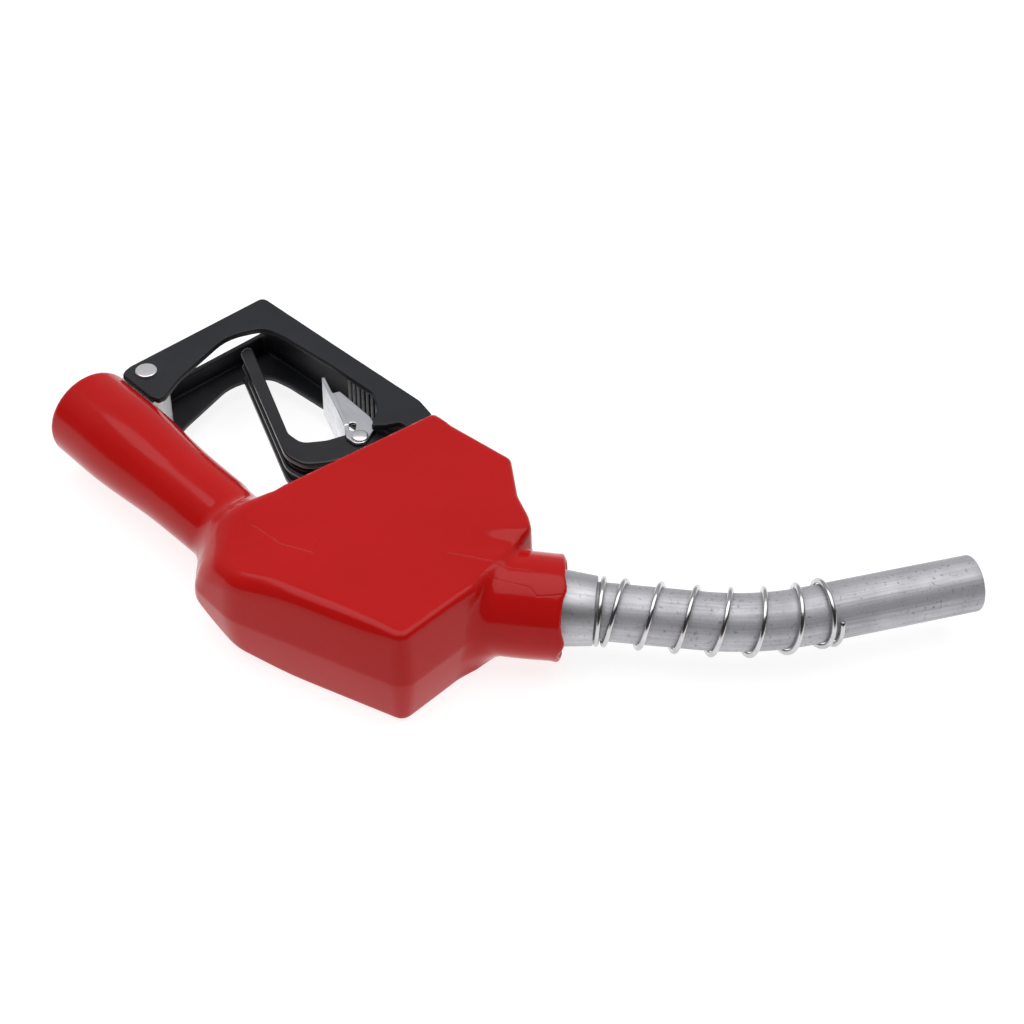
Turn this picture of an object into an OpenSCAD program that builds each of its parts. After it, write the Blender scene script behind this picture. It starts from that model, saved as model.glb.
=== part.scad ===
// Automatic shut-off fuel nozzle, lying on its side.
// Origin: centre of the hose inlet at the rear end of the handle. +X runs along the handle towards the body,
// +Y towards the hand lever and its guard, +Z up out of the flat side of the body.

/* [Handle] */
// Outside diameter of the vinyl cover at the rear of the handle
cover_rear_d = 41.5; // [40.5:0.1:43]
// Outside diameter of the vinyl cover where the handle meets the body
cover_front_d = 34.8; // [34.4:0.1:36]
// Thickness of the vinyl cover
cover_wall = 2.2; // [2:0.1:2.3]
// Inside diameter of the hose thread
hose_bore_d = 24.1; // [23:0.1:25]
// Depth of the hose thread
hose_bore_depth = 18; // [14:1:20]

/* [Body] */
// Overall thickness of the body across its flat sides
body_t = 50; // [49.6:0.1:51]
// Position of the main valve along the handle
valve_x = 134; // [133.5:0.1:134.5]
// Position of the automatic latch along the handle
latch_x = 168; // [167.5:0.1:168.5]

/* [Neck and spout] */
// Centre of the neck's end along the handle
neck_x = 228.6; // [228:0.1:229]
// Centre of the neck's end away from the handle
neck_y = 69.9; // [69.5:0.1:70.5]
// Slope of the neck from the handle's line
neck_angle = 40; // [39.5:0.1:40.5]
// Outside diameter of the vinyl cover round the neck
neck_d = 43.7; // [43.5:0.1:44.5]
// Outside diameter of the spout tube
spout_d = 23.8; // [23.4:0.1:23.8]
// Wall thickness of the spout tube
spout_wall = 1.6; // [1.2:0.1:1.6]
// Straight length of the spout before its bend, from the neck's end
spout_leg_1 = 56.4; // [50:0.2:60]
// Bend radius of the spout's centre line
spout_bend_r = 115; // [100:1:130]
// Angle of the spout's bend
spout_bend = 22; // [15:1:30]
// Straight length of the spout after its bend
spout_leg_2 = 72.7; // [60:0.1:80]

/* [Spout spring] */
// Wire diameter of the spout spring
spout_wire_d = 2.2; // [1.6:0.1:2.3]
// Mean radius of the spout spring's turns
spout_coil_r = 13.4; // [13.1:0.1:14]
// Distance between its open turns
spout_coil_pitch = 14.5; // [12:0.1:16]
// Number of its open turns
spout_coil_open_turns = 6.1; // [5:0.1:6.3]

/* [Lever and guard] */
// Overall width of the lever guard across its two side plates
guard_w = 31; // [30.6:0.1:31]
// Thickness of each side plate of the guard
guard_plate_t = 3; // [2.5:0.1:3]
// Overall width of the hand lever
lever_w = 18; // [16:0.2:18]
// Distance of the lever's pivot pin from the handle's line
pivot_y = 77; // [76.8:0.1:77.2]
// Overall width of the hold-open clip
clip_w = 21.6; // [21.2:0.1:21.6]
// Sheet thickness of the hold-open clip
clip_t = 1.4; // [1:0.1:1.4]
// Hold-open clip's rivet along the handle
clip_x = 103; // [102.8:0.1:103.4]
// Hold-open clip's rivet away from the handle
clip_y = 70.4; // [70.2:0.1:70.6]

/* [Hidden] */
$fn = 64;
running = 0.06;
eps = 0.05;
// How far straight lengths reach into a bend, and how much fatter the bend is
lap = 0.5;
swell = 0.05;

// Half thicknesses of the body, from the outside in
cover_z = body_t / 2;
casting_z = cover_z - cover_wall - 0.2;
// Heights where the body's outline is set, between its middle plane and its flat face
low_z = 8;
high_z = 14;
ridge_z = 21;
// Corner rounding of the cast body's steps
step_k = 0.6;
// Inside faces of the guard's side plates
guard_in = guard_w / 2 - guard_plate_t;
// Half width of the space for lever and guard inside the casting
lever_space = guard_w / 2 + 0.2;

// Main valve
seat_y = 9;
seat_bore_r = 9.5;
chamber_r = 12.4;
poppet_r = 11;
cap_r = 13.6;
cap_head_y = -24.4;
cap_floor_y = -21.9;
stem_r = 3.2;
stem_tip_y = 69.7;

// Latch and vacuum release
sleeve_r = 8;
sleeve_end_y = 46;
race_r = 6.8;
latch_stem_r = 4.5;
vacuum_ledge_y = -7;
vacuum_face_y = -12;
vacuum_screw_ring_r = 15.4;

// Pivot pin and rivets
pivot_pin_r = 2.5;
clip_rivet_r = 2.4;
rear_rivet = [10, 25.4];
rear_rivet_r = 3;
guard_screw_x = [132, 150];
guard_screw_y = 86.4;
screw_head_z = 18.5;
screw_head_r = 3.5;

// Spout
spout_r = spout_d / 2;
spout_bore_r = spout_r - spout_wall;
adapter_r = 15.9;
adapter_tip = 13.2;
vent_offset = 7;
vent_back = 17;
bend_length = spout_bend_r * spout_bend * PI / 180;

// ---- Outline helpers ----

function unit(v) = v / norm(v);
// Points of the arc that rounds corner b, between neighbours a and c, with radius r
function corner(a, b, c, r, n) = r <= 0 ? [b] : let(
    u = unit(a - b),
    w = unit(c - b),
    half = acos(u * w) / 2,
    m = b + unit(u + w) * (r / sin(half)),
    s = b + u * (r / tan(half)) - m,
    e = b + w * (r / tan(half)) - m,
    a0 = atan2(s.y, s.x),
    turn = atan2(e.y, e.x) - a0,
    da = turn > 180 ? turn - 360 : turn < -180 ? turn + 360 : turn
) [for (k = [0:n]) m + r * [cos(a0 + da * k / n), sin(a0 + da * k / n)]];
// An outline of [x, y, radius] corners with each corner rounded
function rounded(p, n = 5) = [for (i = [0:len(p) - 1]) let(
    a = p[(i + len(p) - 1) % len(p)],
    b = p[i],
    c = p[(i + 1) % len(p)]
) each corner([a.x, a.y], [b.x, b.y], [c.x, c.y], b[2], n)];

// A flat plate of an outline from height z0 to z1
module plate(outline, z0, z1) {
    translate([0, 0, z0]) linear_extrude(z1 - z0) polygon(rounded(outline));
}
// The same plate on both sides of the middle plane
module plate_pair(outline, z0, z1) {
    plate(outline, z0, z1);
    plate(outline, -z1, -z0);
}
// A rod along the local Z axis
module rod(z0, z1, r, r2 = -1) {
    translate([0, 0, z0]) cylinder(h = z1 - z0, r1 = r, r2 = r2 < 0 ? r : r2);
}
// A ring along the local Z axis
module ring(z0, z1, r_out, r_in) {
    difference() {
        rod(z0, z1, r_out);
        rod(z0 - 1, z1 + 1, r_in);
    }
}
// Turns the local Z axis along +X
module along_x() {
    rotate([0, 90, 0]) children();
}
// Turns the local Z axis along +Y, at a place along the handle
module along_y(x) {
    translate([x, 0, 0]) rotate([-90, 0, 0]) children();
}
// Places things in the neck's frame: local X runs out of the neck, from the neck's end
module at_neck() {
    translate([neck_x, neck_y, 0]) rotate([0, 0, neck_angle]) children();
}
// Places things on the spout's second straight leg, with local X along it
module at_leg_2() {
    translate([spout_leg_1 + spout_bend_r * sin(spout_bend), spout_bend_r * (1 - cos(spout_bend)), 0])
        rotate([0, 0, spout_bend]) children();
}
// A bent rod that follows the spout's centre line, moved sideways by offset, in the neck's frame
module bent_rod(start, end_back, r, offset = 0) {
    translate([0, offset, 0]) along_x() rod(start, spout_leg_1 + lap, r);
    translate([spout_leg_1, spout_bend_r, 0]) rotate([0, 0, -90])
        rotate_extrude(angle = spout_bend) translate([spout_bend_r - offset, 0]) circle(r = r + swell);
    at_leg_2() translate([0, offset, 0]) along_x() rod(-lap, spout_leg_2 - end_back, r);
}
// A closed tube swept along rings of points
module sweep(rings) {
    n = len(rings);
    m = len(rings[0]);
    polyhedron(
        points = [for (q = rings) each q],
        faces = concat(
            [[for (j = [0:m - 1]) j]],
            [for (i = [0:n - 2]) for (j = [0:m - 1])
                [i * m + j, (i + 1) * m + j, (i + 1) * m + (j + 1) % m, i * m + (j + 1) % m]],
            [[for (j = [m - 1:-1:0]) (n - 1) * m + j]]
        ),
        convexity = 10
    );
}
// A coil spring round the local Z axis, from z0 to z1 overall
module coil(z0, z1, r, wire_r, turns, steps = 16, sides = 6) {
    rise = z1 - z0 - 2 * wire_r;
    sweep([for (i = [0:turns * steps]) let(
        a = 360 * i / steps,
        z = z0 + wire_r + rise * i / (turns * steps)
    ) [for (j = [0:sides - 1]) let(b = -360 * j / sides)
        [(r + wire_r * cos(b)) * cos(a), (r + wire_r * cos(b)) * sin(a), z + wire_r * sin(b)]]]);
}

// ---- Outlines ----

// The body's outlines from its middle plane to its flat face, each drawn in by d, with corner radii scaled by k
function mid_outline(d, k = 1) = [
    [104 + d, -12, 6 * k],
    [109.5 + d * 0.75, -26.5 + d * 0.5, 8 * k],
    [117 + d * 0.45, -32.5 + d * 0.95, 9 * k],
    [142 + d * 0.15, -33.3 + d, 25 * k],
    [216 - d, -6.9 + d * 0.6, 5 * k],
    [216 - d, 36 - d * 0.1, 12 * k],
    [205.5 - d * 0.9, 76.5 - d * 0.35, 6 * k],
    [186 - d * 0.5, 84.9 - d * 0.8, 12 * k],
    [168 - d * 0.3, 98.4 - d, 5 * k],
    [124.8 + d, 93.6 - d, 1.5 * k],
    [116 + d, 12, 8 * k]
];
function high_outline(d, k = 1) = [
    [109.5 + d, -12, 6 * k],
    [115.5 + d * 0.75, -24.5 + d * 0.5, 8 * k],
    [120 + d * 0.45, -30.8 + d * 0.95, 8 * k],
    [142 + d * 0.15, -31.9 + d, 22 * k],
    [215 - d, -5.7 + d * 0.6, 5 * k],
    [215 - d, 36 - d * 0.1, 12 * k],
    [205 - d * 0.9, 76.2 - d * 0.35, 6 * k],
    [185.8 - d * 0.5, 84.6 - d * 0.8, 12 * k],
    [167.9 - d * 0.3, 98.1 - d, 5 * k],
    [124.8 + d, 93.4 - d, 1.5 * k],
    [116 + d, 12, 8 * k]
];
function ridge_outline(d, k = 1) = [
    [109 + d * 1.1, 2 + d * 0.3, 8 * k],
    [147 + d * 0.3, -28.6 + d, 20 * k],
    [213.4 - d, -4.2 + d * 0.6, 4 * k],
    [213.6 - d, 36 - d * 0.1, 10 * k],
    [204.3 - d * 0.9, 75.6 - d * 0.35, 6 * k],
    [185.4 - d * 0.5, 84.1 - d * 0.8, 12 * k],
    [167.7 - d * 0.3, 97.5 - d, 5 * k],
    [124.8 + d, 93.2 - d, 1.5 * k],
    [116 + d, 12, 4 * k]
];
function flat_outline(d, k = 1) = [
    [118 + d, 15 + d * 0.4, 4 * k],
    [171 + d * 0.4, -16.9 + d, 10 * k],
    [211 - d, -2.4 + d * 0.6, 3 * k],
    [211.5 - d, 36 - d * 0.1, 10 * k],
    [202.5 - d * 0.9, 74.2 - d * 0.35, 6 * k],
    [184.6 - d * 0.5, 82.5 - d * 0.8, 12 * k],
    [167 - d * 0.3, 95.4 - d, 5 * k],
    [126.2 + d, 91.8 - d, 1 * k],
    [120 + d, 24, 6 * k]
];
mouth_outline = [[100, 18.2, 0], [118.5, 18.2, 4], [123.8, 24, 8], [127.9, 91.3, 0], [125.2, 91.3, 0],
    [125.2, 110, 0], [100, 110, 0]];
mouth_edge = [[100, 8.5, 0], [113, 8.5, 3], [120.8, 24, 6], [125.2, 93, 0], [125.2, 110, 0], [100, 110, 0]];
lever_space_outline = [
    [90, 17, 0], [120, 17, 2], [122, 40, 5], [127, 47, 3], [179, 47, 4], [179, 110, 0], [90, 110, 0]
];
guard_outline = [
    [4.2, 16.65, 1], [2.6, 19, 0.8], [1.7, 22.5, 1], [1.7, 98.3, 2.5], [55, 100.2, 60], [106.5, 102.3, 6],
    [117, 100, 4], [124.6, 91, 1.5], [157, 91.1, 3], [157, 82.6, 3], [129, 82.8, 1.5],
    [126.4, 86.1, 1.5], [111.6, 86.1, 2],
    [108.7, 80, 1.5], [104.9, 75.4, 0.6], [98.5, 84.6, 5], [88.7, 90.6, 8], [60.7, 89.4, 60], [31.9, 87, 20],
    [20, 84.5, 10], [13.2, 68, 22], [22.8, 34.3, 20], [29, 21.6, 2.5], [28.6, 18.1, 1.5], [24.5, 16.65, 2]
];
guard_rear_web = [[1.7, 30, 0], [1.7, 98.3, 2.5], [16, 98.8, 0], [16, 95.8, 3], [4.9, 95.2, 2.5], [4.9, 30, 0]];
guard_long_web = [
    [5.5, 98.4, 0], [55, 100.2, 60], [106.5, 102.3, 6], [117, 100, 4], [123.6, 92, 0], [121.5, 90.6, 0],
    [115.4, 97, 3], [106.3, 99.1, 5], [55, 97, 60], [5.5, 95.3, 0]
];
lever_outline = [
    [18.6, 73.9, 2], [21.6, 75.6, 1.5], [78.5, 50.2, 8], [87.2, 50.6, 6], [93.2, 59.5, 12], [97.6, 73, 8],
    [101.6, 79.5, 6], [118, 82.5, 10], [latch_x + 1.5, pivot_y + 6.3, 5.5],
    [latch_x + 6.6, pivot_y + 0.3, 5], [latch_x + 0.5, pivot_y - 7, 5.5], [118, 70, 6], [110, 63, 8],
    [104.9, 50.6, 14], [99, 42, 9], [88.5, 40.2, 12], [20.5, 69.6, 2]
];
// The lever's core, set in from the side that faces the hand
lever_core_outline = [
    [20.6, 73.4, 0.5], [22, 74.4, 0.5], [78.2, 49.3, 8], [87.7, 49.8, 6], [93.9, 59.2, 12], [98.4, 72.6, 8],
    [102.3, 78.8, 6], [118, 81.7, 10], [150, 82.2, 0], [150, 70.8, 0], [117.6, 70.8, 6], [109, 66, 8],
    [102.4, 51.8, 12], [97.2, 44.8, 8], [89, 42.9, 10], [22, 72, 0.5]
];
clip_plate_outline = [
    [72.6, 81, 0.5], [73.6, 84, 1.2], [97, 82.4, 12], [103.4, 79.4, 3], [107.4, 69.2, 3],
    [105, 65.8, 2.5], [99.2, 65.8, 1.5], [92.4, 70.4, 0]
];
clip_web_outline = [[60.9, 83.9, 0.4], [61.6, 85.4, 0.4], [93.2, 71.9, 0], [92.6, 70.4, 0]];
lug_outline = [[2.6, 8, 0], [2.6, 31.5, 6.5], [19, 31.5, 6.5], [25.5, 22, 2], [26.5, 8, 0]];

// ---- Casing ----

// Outside of the vinyl cover when d is 0, and its inside when d is the wall thickness
module cover_form(d) {
    along_x() rod(-1 + d * 0.01, 26, cover_rear_d / 2 - d);
    along_x() rod(26, 70, cover_rear_d / 2 - d, cover_front_d / 2 + 0.7 - d);
    along_x() rod(70, 130, cover_front_d / 2 + 0.7 - d, cover_front_d / 2 - d);
    hull() {
        plate(mid_outline(d), -low_z, -1);
        plate(high_outline(d), -high_z + d * 0.7, high_z - d * 0.7);
        plate(ridge_outline(d), -ridge_z + d, ridge_z - d);
        plate(flat_outline(d), -cover_z + d, cover_z - d);
    }
    hull() {
        along_x() rod(92, 94, cover_front_d / 2 + 0.2 - d, $fn = 32);
        translate([118, -22 + d, -16.5 + d]) cube([4, 30 - 2 * d, 33 - 2 * d]);
    }
    at_neck() along_x() rod(-50, d > 0 ? 2 : 0.4, neck_d / 2 - d);
}
module vinyl_cover() {
    color("red") difference() {
        cover_form(0);
        cover_form(cover_wall);
        along_x() rod(-3, 5, cover_rear_d / 2 - cover_wall);
        plate(mouth_outline, -cover_z + cover_wall, cover_z - cover_wall);
        plate_pair(mouth_edge, 17.6, 40);
        translate([2, 0, -12.6]) cube([25.2, 40, 25.2]);
    }
}
module body_casting() {
    color("silver") difference() {
        union() {
            along_x() rod(0, 26, cover_rear_d / 2 - cover_wall - 0.1);
            along_x() rod(26, 128, 15);
            plate(lug_outline, -12.2, 12.2);
            plate(mid_outline(cover_wall + 0.4, step_k), -low_z, -1);
            plate(high_outline(cover_wall + 0.4, step_k), -high_z + 2.2, high_z - 2.2);
            plate(ridge_outline(cover_wall + 0.4, step_k), -ridge_z + 3.2, ridge_z - 3.2);
            plate(flat_outline(cover_wall + 0.4, step_k), -casting_z, casting_z);
            at_neck() along_x() rod(-52, -1.5, neck_d / 2 - cover_wall - 0.1);
        }
        // space for lever and guard, and the mouth
        plate(lever_space_outline, -lever_space, lever_space);
        plate([[90, 19, 0], [124, 19, 0], [127.5, 96, 0], [90, 96, 0]], -40, 40);
        // hose thread, strainer seat and handle passage
        along_x() rod(-1, hose_bore_depth, hose_bore_d / 2);
        along_x() rod(hose_bore_depth - 1, 132, 11);
        // main valve, from the cap down to the gland
        along_y(valve_x) {
            rod(-50, cap_head_y + 1, cap_r + 0.3);
            rod(-50, seat_y, chamber_r);
            rod(0, 20, seat_bore_r);
            rod(13, 27, 11);
            rod(26, 40, stem_r + running);
            rod(31, 60, 6.5);
        }
        // two ducts round the latch sleeve, and the collector behind the neck
        for (side = [-1, 1]) translate([0, 20, side * 10]) along_x() rod(valve_x + 2, 192, 6);
        along_y(192) rod(13, 38, 10.5);
        at_neck() along_x() rod(-54, -34, 12);
        at_neck() along_x() rod(-36, 1, adapter_r + 0.1);
        // latch sleeve and vacuum chamber
        along_y(latch_x) {
            rod(-50, vacuum_face_y, 17.6);
            rod(-50, vacuum_ledge_y, 13.6);
            rod(-50, -3, 10.5);
            rod(-4, 60, sleeve_r + 0.05);
            for (a = [45:90:315]) rotate(a) translate([vacuum_screw_ring_r, 0, 0]) rod(-20, -6, 1.05);
        }
        // rivet and screw holes
        translate(rear_rivet) rod(-20, 20, rear_rivet_r + 0.1);
        for (x = guard_screw_x) translate([x, guard_screw_y, 0]) {
            rod(-40, 40, 2.1);
            rod(screw_head_z, 40, screw_head_r + 0.3);
            rod(-40, -screw_head_z, screw_head_r + 0.3);
        }
        at_neck() translate([-28, 0, 0]) rotate([90, 0, 0]) rod(0, 40, 2.6);
    }
}
module inlet_strainer() {
    color("silver") along_x() {
        ring(hose_bore_depth + 0.1, hose_bore_depth + 1.6, 10.9, 8.5);
        ring(hose_bore_depth + 1.6, hose_bore_depth + 14, 9.3, 8.5);
        rod(hose_bore_depth + 14, hose_bore_depth + 15, 9.3);
    }
}

// ---- Main valve ----

module main_poppet() {
    color("gold") along_y(valve_x) difference() {
        union() {
            rod(3.5, 7, poppet_r);
            rod(-2, 3.5, 5.5);
        }
        rod(-3, 8, stem_r + 0.02);
    }
}
module poppet_seal() {
    color("black") along_y(valve_x) ring(7, seat_y - eps, poppet_r - 0.2, stem_r + 0.02);
}
module poppet_nut() {
    color("gold") along_y(valve_x) difference() {
        translate([0, 0, -6]) cylinder(h = 4, r = 5.2, $fn = 6);
        rod(-7, 0, stem_r + 0.02);
    }
}
module main_stem() {
    color("silver") along_y(valve_x) {
        rod(-7, stem_tip_y - stem_r, stem_r);
        translate([0, 0, stem_tip_y - stem_r]) sphere(r = stem_r);
    }
}
module main_spring() {
    color("silver") along_y(valve_x) coil(cap_floor_y + 0.1, 3.4, 9, 0.9, 6);
}
module main_cap() {
    color("silver") along_y(valve_x) difference() {
        union() {
            rod(cap_head_y - 2.4, cap_head_y, cap_r);
            rod(cap_head_y, -16, chamber_r - 0.1);
        }
        rod(cap_floor_y, -10, 10.3);
        translate([0, 0, cap_head_y - 3]) cylinder(h = 3.4, r = 6, $fn = 6);
    }
}
module main_cap_gasket() {
    color("black") along_y(valve_x) ring(cap_head_y, cap_head_y + 0.95, cap_r, chamber_r);
}
module stem_packing() {
    color("black") along_y(valve_x) ring(31, 33.4, 6.4, stem_r + 0.05);
}
module gland_nut() {
    color("gold") along_y(valve_x) difference() {
        union() {
            rod(33.5, 47, 6.4);
            translate([0, 0, 47.1]) cylinder(h = 5, r = 8, $fn = 6);
            rod(46.9, 47.2, 6.4);
        }
        rod(30, 60, stem_r + running);
    }
}

// ---- Latch and vacuum release ----

module latch_sleeve() {
    color("gold") along_y(latch_x) difference() {
        rod(-3, sleeve_end_y, sleeve_r);
        rod(-4, 40, race_r);
        rod(30, 60, latch_stem_r + 0.08);
    }
}
module latch_stem() {
    color("silver") difference() {
        union() {
            along_y(latch_x) rod(-1, 66, latch_stem_r);
            along_y(latch_x) rod(16, 18, 6.6);
            translate([latch_x - 4.4, 60, -3.8]) cube([8.8, pivot_y - 60, 7.6]);
            translate([latch_x, pivot_y, 0]) rod(-3.8, 3.8, 5.8);
        }
        along_y(latch_x) rod(-5, 9, 2.6);
        along_y(latch_x) for (a = [90:120:330]) rotate(a) translate([0, 0, 4]) along_x() rod(0, 8, 2.1);
        translate([latch_x, pivot_y, 0]) rod(-10, 10, pivot_pin_r + 0.02);
    }
}
module lever_pivot_pin() {
    color("silver") translate([latch_x, pivot_y, 0]) rod(-11.6, 11.6, pivot_pin_r);
}
module latch_spring() {
    color("silver") along_y(latch_x) coil(18.1, 39.9, 5.65, 0.5, 8);
}
module latch_balls() {
    color("silver") along_y(latch_x) for (a = [90:120:330]) rotate(a) translate([4.65, 0, 4]) sphere(r = 2);
}
module latch_pin() {
    color("silver") along_y(latch_x) {
        rod(-5.4, 7.6, 2.5);
        rod(-6.9, -5.4, 7);
        rod(-10.4, -6.9, 1.5);
    }
}
module diaphragm() {
    color("black") along_y(latch_x) ring(-8, -7.05, 13.4, 1.55);
}
module diaphragm_plate() {
    color("silver") along_y(latch_x) ring(-9.2, -8.05, 8, 1.52);
}
module diaphragm_spring() {
    color("silver") along_y(latch_x) coil(-15.8, -9.3, 5.5, 0.5, 3);
}
module vacuum_cap() {
    color("silver") along_y(latch_x) difference() {
        union() {
            rod(-14, vacuum_face_y - 0.1, 17.4);
            rod(vacuum_face_y - 0.2, -8.1, 13.4);
            rod(-17.2, -13.9, 9.5);
        }
        rod(-15.9, -7, 7.5);
        rod(-12.6, -7, 10);
        for (a = [45:90:315]) rotate(a) translate([vacuum_screw_ring_r, 0, 0]) rod(-20, -6, 1.2);
    }
}
module vacuum_cap_screws() {
    color("silver") along_y(latch_x) for (a = [45:90:315]) rotate(a) translate([vacuum_screw_ring_r, 0, 0]) {
        rod(-14, -7, 1);
        difference() {
            rod(-15.4, -14.05, 1.9);
            rod(-16, -14.9, 0.9);
        }
        rod(-14.1, -14, 1);
    }
}

// ---- Spout ----

module spout_adapter() {
    color("silver") at_neck() along_x() difference() {
        union() {
            rod(-35.8, -1.2, adapter_r);
            rod(-1.4, adapter_tip, 15.8, 14.3);
        }
        rod(-40, -14, 13);
        rod(-20, -7, 2 + running);
        for (a = [30:60:330]) rotate(a) translate([vent_offset, 0, 0]) rod(-20, -7, 3);
        rod(-11, 20, spout_bore_r);
        rod(-8, 20, spout_r + 0.05);
        ring(-21.1, -18.9, 20, 14);
        translate([0, 0, -28]) rotate([90, 0, 0]) rod(0, 20, 2.6);
    }
}
module adapter_oring() {
    color("black") at_neck() translate([-20, 0, 0]) along_x()
        rotate_extrude() translate([14.98, 0]) circle(r = 0.95);
}
module spout_screw() {
    color("silver") at_neck() translate([-28, 0, 0]) rotate([90, 0, 0]) difference() {
        rod(13.3, 19.2, 2.5);
        translate([0, 0, 17]) cylinder(h = 4, r = 1.5, $fn = 6);
    }
}
module venturi_seat() {
    color("gold") at_neck() along_x() ring(-35.6, -31, 12.95, 7.5);
}
module check_poppet() {
    color("gold") at_neck() along_x() {
        rod(-30.95, -28.4, 9.5);
        rod(-28.4, -25.4, 9.5, 3);
        rod(-28.4, -9, 2);
    }
}
module check_spring() {
    color("silver") at_neck() along_x() coil(-25.3, -14.1, 4.4, 0.45, 5);
}
module spout_tube() {
    color("gainsboro") at_neck() difference() {
        bent_rod(-7.9, 0, spout_r);
        bent_rod(-9, -1, spout_bore_r);
        at_leg_2() translate([spout_leg_2 - vent_back, 0, 0]) rotate([-90, 0, 0]) rod(0, 20, 2.3);
    }
}
module vent_tube() {
    color("black") at_neck() difference() {
        bent_rod(-10.9, vent_back - 1, 2.5, vent_offset);
        bent_rod(-12, vent_back + 2, 1.7, vent_offset);
        at_leg_2() translate([spout_leg_2 - vent_back, 0, 0]) rotate([-90, 0, 0]) rod(vent_offset, 20, 1.5);
    }
}
module vent_tip() {
    color("gainsboro") at_neck() at_leg_2() translate([spout_leg_2 - vent_back, 0, 0]) rotate([-90, 0, 0])
        ring(9.6, spout_r - 0.3, 2.2, 1.4);
}
// Centre line of the spout at a length from the neck's end: [x, y, heading] in the neck's frame
function spout_at(s) = let(a = spout_bend_r > 0 ? (s - spout_leg_1) / spout_bend_r * 180 / PI : 0)
    s < spout_leg_1 ? [s, 0, 0]
    : a < spout_bend ? [spout_leg_1 + spout_bend_r * sin(a), spout_bend_r * (1 - cos(a)), a]
    : let(t = s - spout_leg_1 - bend_length) [
        spout_leg_1 + spout_bend_r * sin(spout_bend) + t * cos(spout_bend),
        spout_bend_r * (1 - cos(spout_bend)) + t * sin(spout_bend),
        spout_bend
    ];
// Distance along the spout of the spring's wire after a number of turns: closed, open, nearly closed
closed_turns = 1.16;
end_turns = 1;
closed_pitch = spout_wire_d * 1.02;
end_pitch = 4;
coil_turns = closed_turns + spout_coil_open_turns + end_turns;
function coil_rise(t) = min(t, closed_turns) * closed_pitch
    + max(0, min(t - closed_turns, spout_coil_open_turns)) * spout_coil_pitch
    + max(0, t - closed_turns - spout_coil_open_turns) * end_pitch;
module spout_spring() {
    steps = 22;
    sides = 8;
    color("silver") at_neck() sweep([for (i = [0:floor(coil_turns * steps)]) let(
        p = spout_at(adapter_tip + spout_wire_d / 2 + 0.1 + coil_rise(i / steps)),
        a = 283 - 360 * i / steps,
        out = [-sin(p[2]), cos(p[2]), 0],
        ahead = [cos(p[2]), sin(p[2]), 0]
    ) [for (j = [0:sides - 1]) let(
        b = -360 * j / sides,
        r = spout_coil_r + spout_wire_d / 2 * cos(b)
    ) [p.x, p.y, 0] + out * r * cos(a) + [0, 0, r * sin(a)] + ahead * spout_wire_d / 2 * sin(b)]]);
}

// ---- Lever guard ----

module lever_guard() {
    color("dimgray") difference() {
        union() {
            plate_pair(guard_outline, guard_in, guard_w / 2);
            plate(guard_rear_web, -guard_in - eps, -4);
            plate(guard_long_web, -guard_in - eps, guard_in + eps);
            // rack for the hold-open clip
            for (i = [0:6]) translate([64.5 + 3.1 * i, 97.4, 0]) rod(-guard_in, guard_in, 0.95);
        }
        translate(rear_rivet) rod(-20, 20, rear_rivet_r + 0.05);
        for (x = guard_screw_x) translate([x, guard_screw_y, 0]) rod(-20, 20, 1.7);
    }
}
module guard_rear_rivet() {
    color("silver") translate(rear_rivet) {
        rod(-guard_w / 2, guard_w / 2, rear_rivet_r);
        rod(guard_w / 2 + 0.02, guard_w / 2 + 1.3, 4.9, 4.6);
        rod(-guard_w / 2 - 1.3, -guard_w / 2 - 0.02, 4.6, 4.9);
        rod(-guard_w / 2 - 0.1, guard_w / 2 + 0.1, rear_rivet_r);
    }
}
module guard_screws() {
    color("silver") for (x = guard_screw_x) for (side = [0, 1]) translate([x, guard_screw_y, 0])
        mirror([0, 0, side]) difference() {
            union() {
                rod(guard_in + 0.1, screw_head_z + 0.1, 1.6);
                rod(screw_head_z + 0.05, screw_head_z + 1.9, screw_head_r);
            }
            translate([0, 0, screw_head_z + 0.8]) cylinder(h = 4, r = 1.8, $fn = 6);
        }
}

// ---- Lever and hold-open clip ----

module lever() {
    color("black") difference() {
        union() {
            plate_pair(lever_outline, lever_w / 2 - 3.4, lever_w / 2);
            plate(lever_outline, -1.3, 1.3);
            plate(lever_core_outline, -lever_w / 2 + 1, lever_w / 2 - 1);
        }
        // fork round the latch stem, and the pin's hole
        translate([latch_x - 12, pivot_y - 20, -4.1]) cube([40, 40, 8.2]);
        translate([latch_x, pivot_y, 0]) rod(-20, 20, pivot_pin_r + running);
        // hole for the clip's rivet, and room for its spring
        translate([clip_x, clip_y, 0]) rod(-20, 20, clip_rivet_r + 0.03);
        translate([clip_x, clip_y, 0]) rod(-5.2, 5.2, 4.4);
    }
}
module hold_open_clip() {
    color("silver") difference() {
        union() {
            plate_pair(clip_plate_outline, clip_w / 2 - clip_t, clip_w / 2);
            plate(clip_web_outline, -clip_w / 2, clip_w / 2);
        }
        translate([clip_x, clip_y, 0]) rod(-20, 20, clip_rivet_r + running);
        // slot for the spring's leg
        translate([95.8, 72.3, 0]) rotate([0, 0, 136]) translate([-2.8, -1.5, -20]) cube([5.6, 3, 40]);
    }
}
module clip_rivet() {
    head = 3.7;
    color("silver") translate([clip_x, clip_y, 0]) {
        rod(-clip_w / 2 - 0.1, clip_w / 2 + 0.1, clip_rivet_r);
        for (side = [0, 1]) mirror([0, 0, side]) intersection() {
            translate([0, 0, clip_w / 2 + 1.4 - 5.6]) sphere(r = 5.6);
            rod(clip_w / 2 + 0.05, clip_w / 2 + 3, head);
        }
    }
}
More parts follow.
